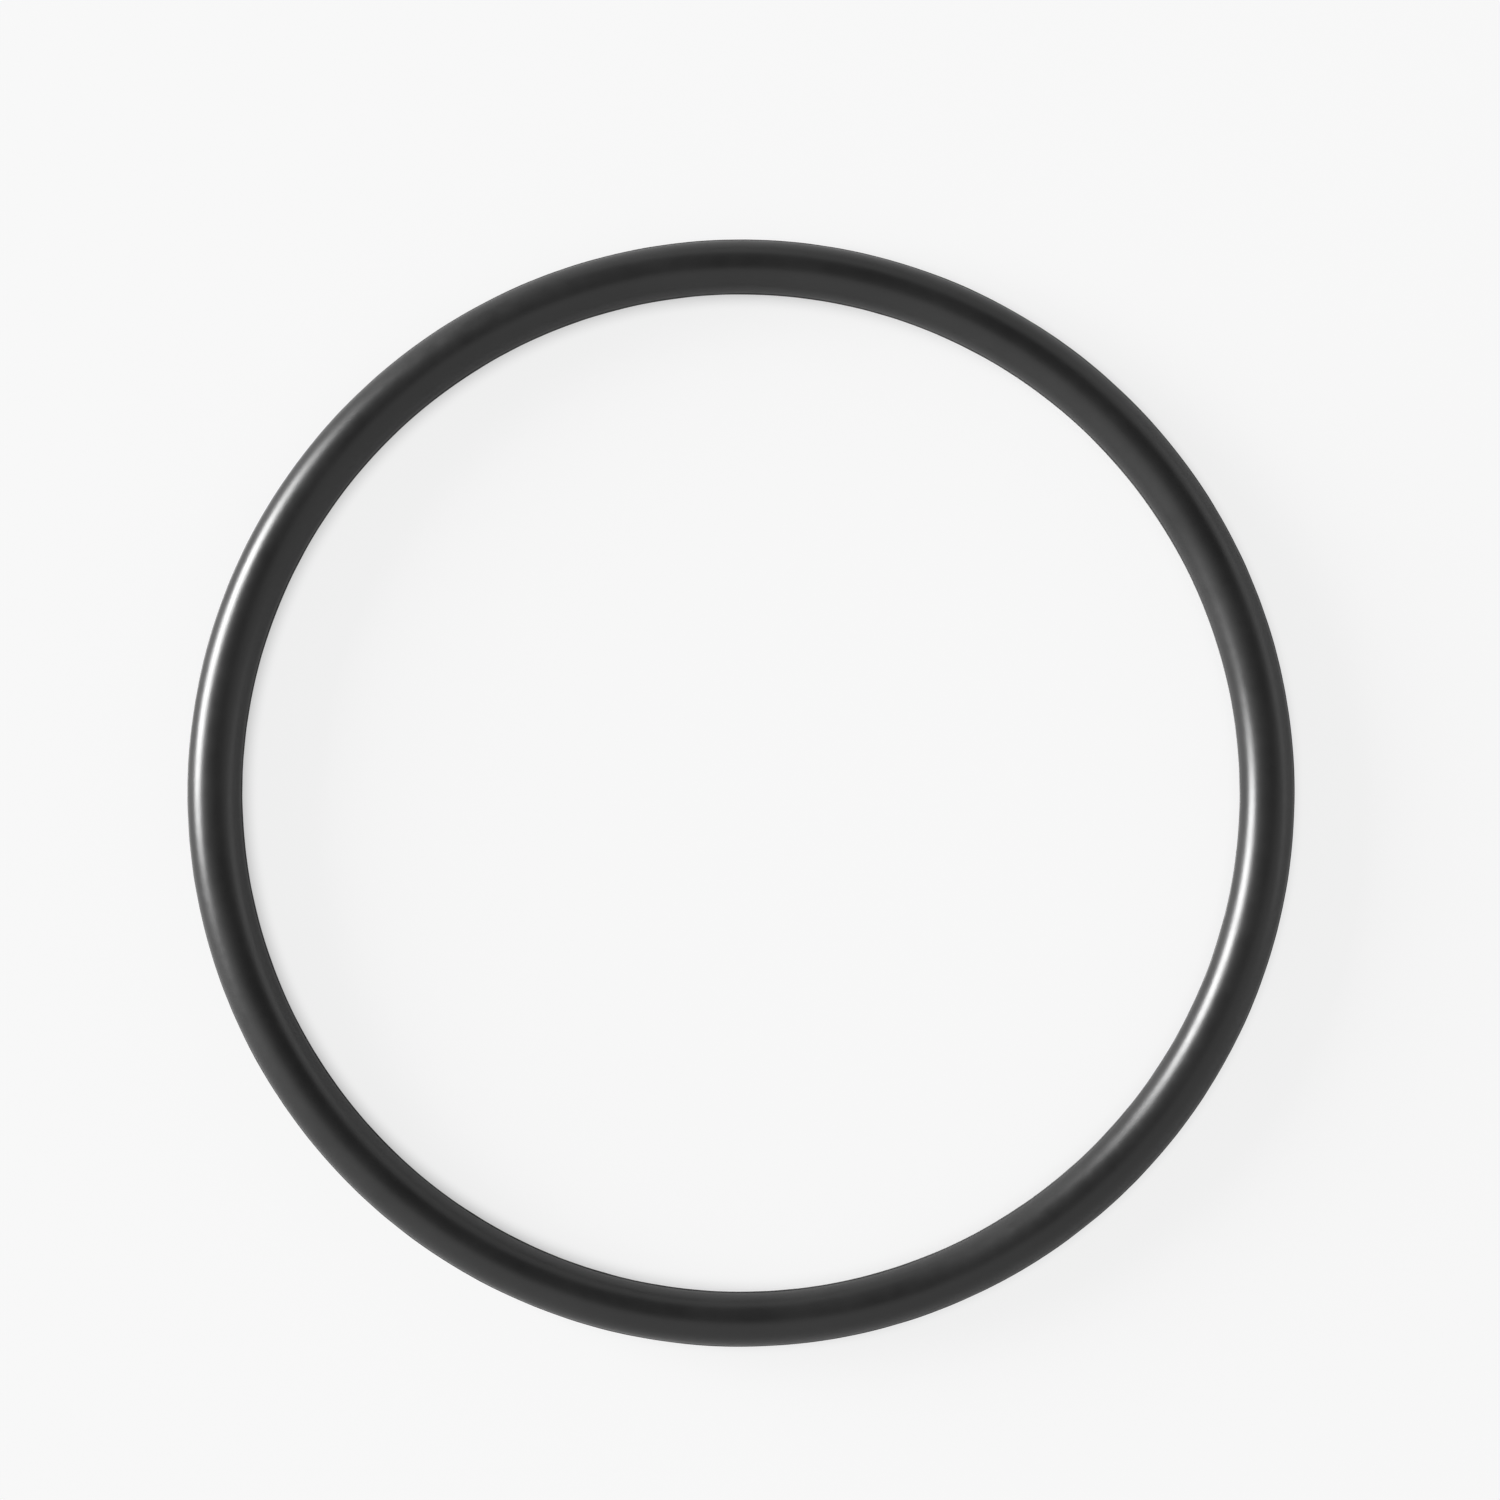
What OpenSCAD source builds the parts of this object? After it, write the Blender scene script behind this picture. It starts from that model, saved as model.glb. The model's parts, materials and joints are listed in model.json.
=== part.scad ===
// Rubber o-ring: one moulded ring of round section, lying flat with its axis upright.
// Both halves of the mould meet at the ring's middle plane, so a fine trimmed flash
// runs once round the inside and once round the outside.
// Lengths are in millimetres. The origin is the ring's centre, on the parting plane.

/* [Ring] */
// Free inside diameter, measured on the round section and not on the flash
inner_d = 48.9; // [12:0.01:250]
// Diameter of the round section
section_d = 2.62; // [1.5:0.01:7]

/* [Parting line] */
// How far the trimmed flash stands out from the round section
flash_h = 0.04; // [0.02:0.005:0.12]
// Width of the flash at its trimmed edge
flash_w = 0.08; // [0.04:0.01:0.2]
// Flare of each flank of the flash towards its root, in degrees
flash_flare = 30; // [10:1:45]

/* [Hidden] */
// Steps in a full turn of the ring, and round its section
ring_steps = 240;
section_steps = 96;
// Radius of the circle that the section's centre follows
mean_r = (inner_d + section_d) / 2;
// Reach of the flash from the section's centre, and where its flanks end inside the section
flash_reach = section_d / 2 + flash_h;
flash_root = section_d / 2 - 2 * flash_h;

// Both flashes in one strip across the section, along the parting plane. The trimmed
// edges are its ends, and between its flared roots the strip lies inside the round.
module parting_strip() {
    edge = flash_w / 2;
    root = edge + (flash_reach - flash_root) * tan(flash_flare);
    polygon([
        [flash_reach, -edge],
        [flash_reach, edge],
        [flash_root, root],
        [-flash_root, root],
        [-flash_reach, edge],
        [-flash_reach, -edge],
        [-flash_root, -root],
        [flash_root, -root]
    ]);
}

// The ring's whole section, about its own centre
module section_profile() {
    circle(d = section_d, $fn = section_steps);
    parting_strip();
}

module o_ring() {
    color([0.17, 0.17, 0.175])
        rotate_extrude($fn = ring_steps)
            translate([mean_r, 0]) section_profile();
}

o_ring();
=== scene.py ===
import json
import math

import bmesh
import bpy
from mathutils import Matrix, Vector, noise


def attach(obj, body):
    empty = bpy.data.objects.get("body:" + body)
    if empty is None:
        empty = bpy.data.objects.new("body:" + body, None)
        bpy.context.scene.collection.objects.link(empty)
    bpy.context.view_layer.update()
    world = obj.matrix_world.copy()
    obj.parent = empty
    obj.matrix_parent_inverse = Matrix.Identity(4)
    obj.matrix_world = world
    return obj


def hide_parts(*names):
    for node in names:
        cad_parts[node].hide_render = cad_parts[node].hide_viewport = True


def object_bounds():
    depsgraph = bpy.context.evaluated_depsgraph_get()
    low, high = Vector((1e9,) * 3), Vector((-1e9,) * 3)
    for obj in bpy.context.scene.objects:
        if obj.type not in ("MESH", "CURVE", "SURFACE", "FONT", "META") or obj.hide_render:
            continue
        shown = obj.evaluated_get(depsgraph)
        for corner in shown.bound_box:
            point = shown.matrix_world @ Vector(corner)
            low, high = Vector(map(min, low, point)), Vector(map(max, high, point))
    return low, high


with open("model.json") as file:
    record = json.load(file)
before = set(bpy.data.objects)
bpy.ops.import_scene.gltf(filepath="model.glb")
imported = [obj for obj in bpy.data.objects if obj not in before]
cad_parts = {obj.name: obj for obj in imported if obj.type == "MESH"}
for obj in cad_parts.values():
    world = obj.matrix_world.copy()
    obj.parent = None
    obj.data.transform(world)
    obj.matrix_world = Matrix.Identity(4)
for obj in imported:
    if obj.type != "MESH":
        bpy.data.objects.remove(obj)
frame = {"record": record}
cad_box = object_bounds()

# The ring: black nitrile rubber, pressed in one piece in a mould of two halves that meet at
# its middle plane. The flash squeezed out there is trimmed off inside and outside, and what
# is left of it is a fine ridge whose cut edge wavers a little.
seats = {mount["name"]: mount["dims"] for mount in frame["record"]["mounts"]}
INNER_R = seats["shaft_seat"]["r_mm"] / 1000
OUTER_R = seats["housing_seat"]["r_mm"] / 1000
FLASH_WIDTH = seats["shaft_seat"]["length_mm"] / 1000
MEAN_R = (INNER_R + OUTER_R) / 2
SECTION_R = (cad_box[1].z - cad_box[0].z) / 2

# Steps in a full turn of the ring and round its section, and the angle at which an edge shows
RING_STEPS = 720
SECTION_STEPS = 64
HALF_STEP = math.pi / SECTION_STEPS
SHARP_FROM = math.radians(15)

# The most that the trimming takes off the flash, and the lengths over which that changes
TRIM_WAVER = 0.000012
SLOW_WAVER = 0.003
QUICK_WAVER = 0.0009


def moulded_ring():
    """The round section swept once round, with a narrow flat facing the axis and one facing out."""
    bm = bmesh.new()
    section = bmesh.ops.create_circle(bm, segments=SECTION_STEPS, radius=SECTION_R)["verts"]
    bmesh.ops.rotate(bm, verts=section, matrix=Matrix.Rotation(HALF_STEP, 3, "Z"))
    bmesh.ops.rotate(bm, verts=section, matrix=Matrix.Rotation(math.pi / 2, 3, "X"))
    bmesh.ops.translate(bm, verts=section, vec=(MEAN_R, 0, 0))
    bmesh.ops.spin(
        bm, geom=bm.verts[:] + bm.edges[:], cent=(0, 0, 0), axis=(0, 0, 1),
        angle=math.tau, steps=RING_STEPS, use_merge=True)
    bmesh.ops.remove_doubles(bm, verts=bm.verts, dist=1e-7)
    bmesh.ops.recalc_face_normals(bm, faces=bm.faces)
    return bm


def raise_flash(bm):
    """Draws the two flats at the parting plane out into ridges, and gives their cut edges."""
    half_flat = SECTION_R * math.sin(HALF_STEP)
    flats = [face for face in bm.faces if abs(face.calc_center_median().z) < half_flat / 2]
    bmesh.ops.inset_region(
        bm, faces=flats, use_boundary=True, use_even_offset=True,
        thickness=half_flat - FLASH_WIDTH / 2,
        depth=(OUTER_R - INNER_R) / 2 - SECTION_R * math.cos(HALF_STEP))
    return {vert for face in flats for vert in face.verts}


def trim_flash(cut_edges):
    """Takes a little more or less off the ridges along the way, as the trimming does."""
    for vert in cut_edges:
        outward = Vector((vert.co.x, vert.co.y, 0)).normalized()
        if vert.co.xy.length < MEAN_R:
            outward.negate()
        waver = noise.noise(vert.co / SLOW_WAVER) + 0.5 * noise.noise(vert.co / QUICK_WAVER)
        vert.co -= outward * TRIM_WAVER * min(1, max(0, 0.5 + waver))


def smooth_faces(bm):
    """Lets the light run smoothly over the ring, apart from the corners of the flash."""
    for face in bm.faces:
        face.smooth = True
    for edge in bm.edges:
        edge.smooth = edge.calc_face_angle() < SHARP_FROM


def finished_piece(name, form, material):
    """Makes a piece of a finished form, which already lies in its place, and frees the form."""
    mesh = bpy.data.meshes.new(name)
    form.to_mesh(mesh)
    form.free()
    mesh.materials.append(material)
    piece = bpy.data.objects.new(name, mesh)
    bpy.context.scene.collection.objects.link(piece)
    return piece


# The rubber's grey and roughness, each where its skin is clear and where wax has bloomed on
# it, and how much paler and duller it is where the flash was cut
RUBBER_IOR = 1.6
SKIN_GREY = (0.013, 0.017)
SKIN_ROUGHNESS = (0.30, 0.35)
CUT_PALER = 0.012
CUT_DULLER = 0.25

# The cut land fades in over this distance from the section's centre, and out over this height
LAND_REACH = (SECTION_R - 0.00003, SECTION_R + 0.00001)
LAND_HEIGHT = (0.00005, 0.0001)

# The size of each pattern on the skin, and how rough or how deep it makes it. Nearly all of a
# noise texture lies in the noise range.
NOISE_RANGE = (0.3, 0.7)
BLOOM_SIZE = 0.0035
CLOUD_SIZE = 0.0007
CLOUD_ROUGHNESS = (-0.01, 0.03)
TURNING_PITCH = 0.00004
TURNING_RUN = 0.005
TURNING_DEPTH = 8e-7
GRAIN_SIZE = 0.00006
GRAIN_DEPTH = 1.5e-6
UNEVEN_SIZE = 0.0004
UNEVEN_DEPTH = 2e-6


def reckon(tree, operation, first, second=0.0):
    """One sum in a material. Each term is a number or another node's output."""
    maths = tree.nodes.new("ShaderNodeMath")
    maths.operation = operation
    for value, socket in zip((first, second), maths.inputs):
        if isinstance(value, bpy.types.NodeSocket):
            tree.links.new(value, socket)
        else:
            socket.default_value = value
    return maths.outputs["Value"]


def spread(tree, value, bounds, results, curve="LINEAR"):
    """Turns a value between the two bounds into one between the two results."""
    ranged = tree.nodes.new("ShaderNodeMapRange")
    ranged.interpolation_type = curve
    for name, number in zip(("From Min", "From Max", "To Min", "To Max"), (*bounds, *results)):
        ranged.inputs[name].default_value = number
    tree.links.new(value, ranged.inputs["Value"])
    return ranged.outputs["Result"]


def mottle(tree, place, size, detail):
    """A cloudy pattern whose clouds have the given size."""
    texture = tree.nodes.new("ShaderNodeTexNoise")
    texture.inputs["Scale"].default_value = 1 / size
    texture.inputs["Detail"].default_value = detail
    tree.links.new(place, texture.inputs["Vector"])
    return texture.outputs["Fac"]


def turning_lines(tree, x, y, z, across):
    """Fine lines round the ring, left by the turning of the mould: close across, long along."""
    texture = tree.nodes.new("ShaderNodeTexNoise")
    texture.noise_dimensions = "4D"
    texture.inputs["Scale"].default_value = 1
    texture.inputs["Detail"].default_value = 2
    spot = tree.nodes.new("ShaderNodeCombineXYZ")
    tree.links.new(reckon(tree, "DIVIDE", across, TURNING_PITCH), spot.inputs["X"])
    tree.links.new(reckon(tree, "DIVIDE", z, TURNING_PITCH), spot.inputs["Y"])
    tree.links.new(reckon(tree, "DIVIDE", x, TURNING_RUN), spot.inputs["Z"])
    tree.links.new(spot.outputs["Vector"], texture.inputs["Vector"])
    tree.links.new(reckon(tree, "DIVIDE", y, TURNING_RUN), texture.inputs["W"])
    return texture.outputs["Fac"]


def relief(tree, layers):
    """Bumps laid one on another. Each layer is a pattern and its depth."""
    under = None
    for pattern, depth in layers:
        bump = tree.nodes.new("ShaderNodeBump")
        bump.inputs["Distance"].default_value = depth
        tree.links.new(pattern, bump.inputs["Height"])
        if under:
            tree.links.new(under, bump.inputs["Normal"])
        under = bump.outputs["Normal"]
    return under


def rubber():
    """Nitrile rubber: the satin skin of a turned and polished mould, duller where it was cut."""
    mat = bpy.data.materials.new("nitrile_rubber")
    mat.use_nodes = True
    tree = mat.node_tree
    skin = tree.nodes["Principled BSDF"]
    skin.inputs["IOR"].default_value = RUBBER_IOR
    place = tree.nodes.new("ShaderNodeTexCoord").outputs["Object"]
    split = tree.nodes.new("ShaderNodeSeparateXYZ")
    tree.links.new(place, split.inputs["Vector"])
    x, y, z = split.outputs

    # How far a point lies across from the section's centre, and how much of it is cut land
    from_axis = reckon(tree, "SQRT", reckon(
        tree, "ADD", reckon(tree, "MULTIPLY", x, x), reckon(tree, "MULTIPLY", y, y)))
    across = reckon(tree, "SUBTRACT", from_axis, MEAN_R)
    reach = spread(tree, reckon(tree, "ABSOLUTE", across), LAND_REACH, (0, 1))
    level = spread(tree, reckon(tree, "ABSOLUTE", z), LAND_HEIGHT, (1, 0))
    cut = reckon(tree, "MULTIPLY", reach, level)

    # Wax bloomed to the surface in faint clouds, over a finer cloudiness of the skin itself
    bloom = spread(tree, mottle(tree, place, BLOOM_SIZE, detail=4), NOISE_RANGE, (0, 1))
    clouds = spread(tree, mottle(tree, place, CLOUD_SIZE, detail=2), NOISE_RANGE, CLOUD_ROUGHNESS)
    gloss = reckon(tree, "ADD", spread(tree, bloom, (0, 1), SKIN_ROUGHNESS), clouds)
    gloss = reckon(tree, "ADD", gloss, reckon(tree, "MULTIPLY", cut, CUT_DULLER))
    tree.links.new(gloss, skin.inputs["Roughness"])
    shade = spread(tree, bloom, (0, 1), SKIN_GREY)
    shade = reckon(tree, "ADD", shade, reckon(tree, "MULTIPLY", cut, CUT_PALER))
    tone = tree.nodes.new("ShaderNodeCombineColor")
    for channel in tone.inputs:
        tree.links.new(shade, channel)
    tree.links.new(tone.outputs["Color"], skin.inputs["Base Color"])

    # The turning lines, the grain and the shallow unevenness of pressed rubber, one on another
    lines = turning_lines(tree, x, y, z, across)
    grain = mottle(tree, place, GRAIN_SIZE, detail=2)
    unevenness = mottle(tree, place, UNEVEN_SIZE, detail=1)
    surface = relief(tree, (
        (lines, TURNING_DEPTH), (grain, GRAIN_DEPTH), (unevenness, UNEVEN_DEPTH)))
    tree.links.new(surface, skin.inputs["Normal"])
    return mat


ring_form = moulded_ring()
trim_flash(raise_flash(ring_form))
smooth_faces(ring_form)
ring = finished_piece("o_ring_rubber", ring_form, rubber())
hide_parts("o_ring")
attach(ring, "root")

# The floor: flat pale grey studio paper. The camera's exposure turns it nearly white, and it
# is plain to the camera except round the ring, where part of the true light and shadow shows.
PAPER_R = 3.0
PAPER_STEPS = 96
PAPER_GREY = 0.56
PAPER_EXPOSED = 0.98
BACKGROUND_WHITE = 0.93

# How much of the paper's reflection in the ring is that plain white
PLAIN_TO_GLOSS = 0.2

# The share of the true shadow that shows round the ring and at its line of contact, and the
# distances over which each fades out, from the ring's axis and from the contact
SHADOW_ROUND_RING = 0.1
ROUND_RING_FADE = (0.06, 0.25)
SHADOW_AT_CONTACT = 0.8
CONTACT_FADE = (0.0003, 0.002)


def to_camera(tree, path):
    """1 on the camera's own sight lines, also those through something clear, and otherwise 0."""
    return reckon(tree, "MAXIMUM", path.outputs["Is Camera Ray"], path.outputs["Is Transmission Ray"])


def paper():
    """Grey paper to the light, and plain white to the camera but for a share of the shadow."""
    mat = bpy.data.materials.new("studio_paper")
    mat.use_nodes = True
    tree = mat.node_tree
    tree.nodes.clear()
    path = tree.nodes.new("ShaderNodeLightPath")
    seen = to_camera(tree, path)

    # The share of the true light and shadow that the camera sees, fading out from the ring
    place = tree.nodes.new("ShaderNodeTexCoord")
    length = tree.nodes.new("ShaderNodeVectorMath")
    length.operation = "LENGTH"
    tree.links.new(place.outputs["Object"], length.inputs[0])
    off_axis = length.outputs["Value"]
    off_contact = reckon(tree, "ABSOLUTE", reckon(tree, "SUBTRACT", off_axis, MEAN_R))
    shadow = reckon(
        tree, "ADD", spread(tree, off_axis, ROUND_RING_FADE, (SHADOW_ROUND_RING, 0), "SMOOTHSTEP"),
        spread(tree, off_contact, CONTACT_FADE, (SHADOW_AT_CONTACT, 0), "SMOOTHSTEP"))
    plain = reckon(
        tree, "MAXIMUM", reckon(tree, "MULTIPLY", seen, reckon(tree, "SUBTRACT", 1, shadow)),
        reckon(tree, "MULTIPLY", path.outputs["Is Glossy Ray"], PLAIN_TO_GLOSS))

    lit = tree.nodes.new("ShaderNodeBsdfDiffuse")
    tree.links.new(spread(tree, seen, (0, 1), (PAPER_GREY, PAPER_EXPOSED)), lit.inputs["Color"])
    white = tree.nodes.new("ShaderNodeEmission")
    white.inputs["Strength"].default_value = BACKGROUND_WHITE
    mix = tree.nodes.new("ShaderNodeMixShader")
    tree.links.new(plain, mix.inputs["Fac"])
    tree.links.new(lit.outputs["BSDF"], mix.inputs[1])
    tree.links.new(white.outputs["Emission"], mix.inputs[2])
    output = tree.nodes.new("ShaderNodeOutputMaterial")
    tree.links.new(mix.outputs["Shader"], output.inputs["Surface"])
    return mat


paper_form = bmesh.new()
bmesh.ops.create_circle(paper_form, cap_ends=True, segments=PAPER_STEPS, radius=PAPER_R)
bmesh.ops.translate(paper_form, verts=paper_form.verts, vec=(0, 0, cad_box[0].z))
floor = finished_piece("studio_paper", paper_form, paper())

# The light: a strong softbox standing on the floor to the left, a wide weak one to the right,
# and a pale studio round them with a dark ceiling on the far side. The camera sees only white.
SOFTBOX_DISTANCE = 2.4

# How strong the walls and the ceiling are, the direction of the ceiling's middle, and how many
# degrees from there the ceiling is still wholly dark and has quite ended
WALLS = 0.59
CEILING = 0.03
CEILING_MIDDLE = (90, 49)
CEILING_EDGE = (39, 63)


def toward(azimuth, elevation):
    """The direction at an azimuth from +X and an elevation from the floor, in degrees."""
    a, e = math.radians(azimuth), math.radians(elevation)
    return Vector((math.cos(a) * math.cos(e), math.sin(a) * math.cos(e), math.sin(e)))


def softbox(name, azimuth, elevation, width, height, radiance):
    """A rectangle of light facing the ring. Its width and height are per metre of distance."""
    lamp = bpy.data.lights.new(name, "AREA")
    lamp.shape = "RECTANGLE"
    lamp.size = width * SOFTBOX_DISTANCE
    lamp.size_y = height * SOFTBOX_DISTANCE
    lamp.energy = radiance * math.pi * lamp.size * lamp.size_y
    box = bpy.data.objects.new(name, lamp)
    box.location = toward(azimuth, elevation) * SOFTBOX_DISTANCE
    box.rotation_mode = "QUATERNION"
    box.rotation_quaternion = (-box.location).to_track_quat("-Z", "Y")
    box.visible_camera = False
    bpy.context.scene.collection.objects.link(box)


def pale_studio():
    """Walls and a ceiling that light the ring, and plain white for the camera."""
    world = bpy.data.worlds.new("studio")
    world.use_nodes = True
    tree = world.node_tree
    way = tree.nodes.new("ShaderNodeTexCoord")
    nearness = tree.nodes.new("ShaderNodeVectorMath")
    nearness.operation = "DOT_PRODUCT"
    nearness.inputs[1].default_value = toward(*CEILING_MIDDLE)
    tree.links.new(way.outputs["Generated"], nearness.inputs[0])
    dark, ended = (math.cos(math.radians(angle)) for angle in CEILING_EDGE)
    room = spread(tree, nearness.outputs["Value"], (ended, dark), (WALLS, CEILING), "SMOOTHSTEP")

    path = tree.nodes.new("ShaderNodeLightPath")
    strength = tree.nodes.new("ShaderNodeMix")
    tree.links.new(to_camera(tree, path), strength.inputs["Factor"])
    tree.links.new(room, strength.inputs["A"])
    strength.inputs["B"].default_value = BACKGROUND_WHITE
    background = tree.nodes["Background"]
    tree.links.new(strength.outputs["Result"], background.inputs["Strength"])
    background.inputs["Color"].default_value = (1, 1, 1, 1)
    return world


softbox("key_softbox", azimuth=165, elevation=14.9, width=0.66, height=0.51, radiance=25.5)
softbox("fill_softbox", azimuth=49, elevation=22.5, width=3.6, height=0.56, radiance=0.53)
bpy.context.scene.world = pale_studio()

# The camera: a long lens looking straight down on the ring, as the photograph looks straight
# at its face. The ring's place and size in the photograph, in pixels, set where it stands.
LENS_MM = 115
SENSOR_MM = 36
PHOTO_SIDE = 1500
PHOTO_RING_CENTRE = (741.05, 793.1)
PHOTO_MEAN_R = 526.1
PIXEL = MEAN_R / PHOTO_MEAN_R

lens = bpy.data.cameras.new("camera")
lens.lens = LENS_MM
lens.sensor_width = SENSOR_MM
lens.clip_start = 0.01
lens.clip_end = 10
camera = bpy.data.objects.new("camera", lens)
camera.location = (
    (PHOTO_SIDE / 2 - PHOTO_RING_CENTRE[0]) * PIXEL,
    (PHOTO_RING_CENTRE[1] - PHOTO_SIDE / 2) * PIXEL,
    LENS_MM / SENSOR_MM * PHOTO_SIDE * PIXEL)
bpy.context.scene.collection.objects.link(camera)
bpy.context.scene.camera = camera
bpy.context.scene.view_settings.view_transform = "Standard"
